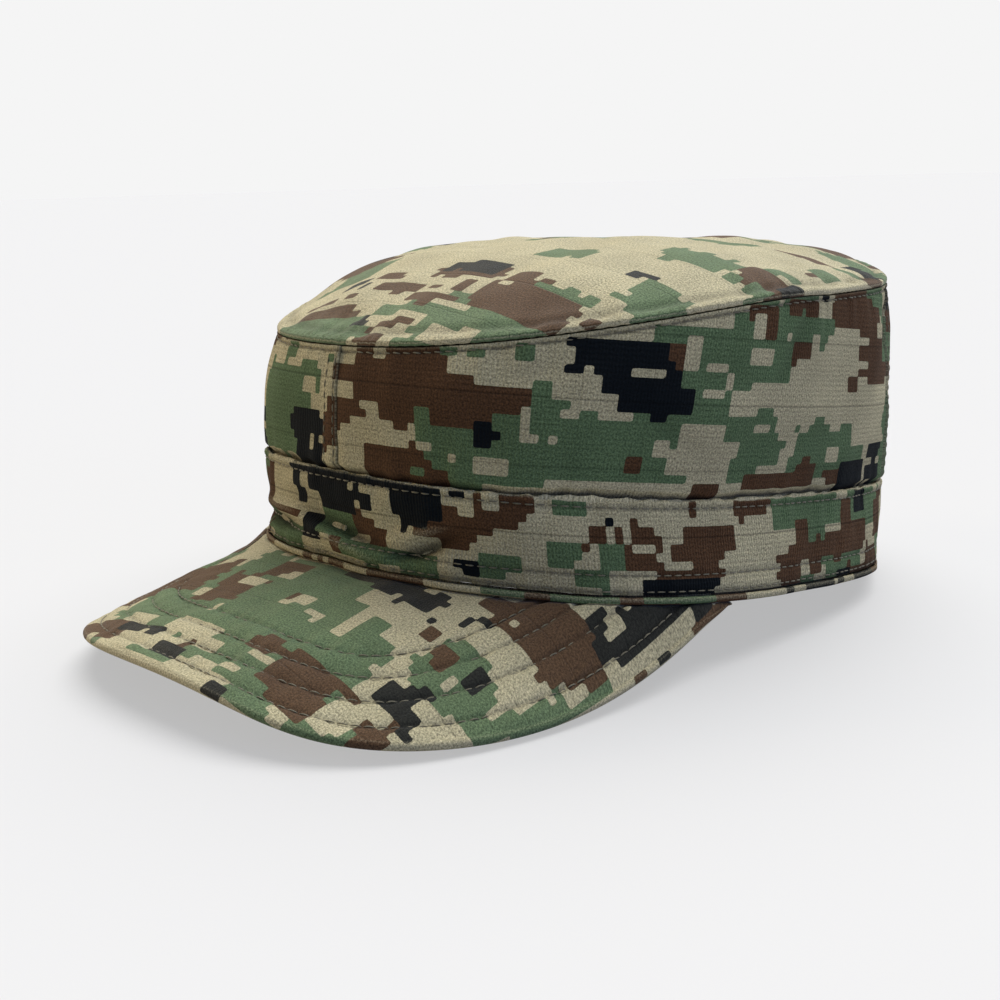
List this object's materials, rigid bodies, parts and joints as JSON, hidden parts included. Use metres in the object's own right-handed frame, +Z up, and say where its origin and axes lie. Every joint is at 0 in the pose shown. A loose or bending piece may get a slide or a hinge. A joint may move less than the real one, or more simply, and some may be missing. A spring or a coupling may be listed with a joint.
{
  "type": "patrol cap",
  "caption": "Soft cotton patrol cap with an oval top, a doubled band and a stiff stitched peak, printed in digital camouflage.",
  "frame": {"origin": "middle of the footprint, on the surface that the cap stands on by its peak and the back of its lower edge", "axes": "+Z up, the wearer faces -Y, +X is the wearer's left"},
  "size_m": [0.1744, 0.265, 0.1107],
  "materials": {
    "crown_cloth": "printed ripstop cotton, matte",
    "top_cloth": "printed ripstop cotton, matte",
    "band_cloth": "printed ripstop cotton, matte",
    "binding_cloth": "printed cotton, rolled edge",
    "peak_cloth": "printed ripstop cotton over board, matte"
  },
  "bodies": {
    "root": {"top_panel": "top_cloth", "side_panel_left": "crown_cloth", "side_panel_right": "crown_cloth", "back_panel": "crown_cloth", "band": "band_cloth", "edge_binding": "binding_cloth", "peak": "peak_cloth"}
  },
  "joints": []
}
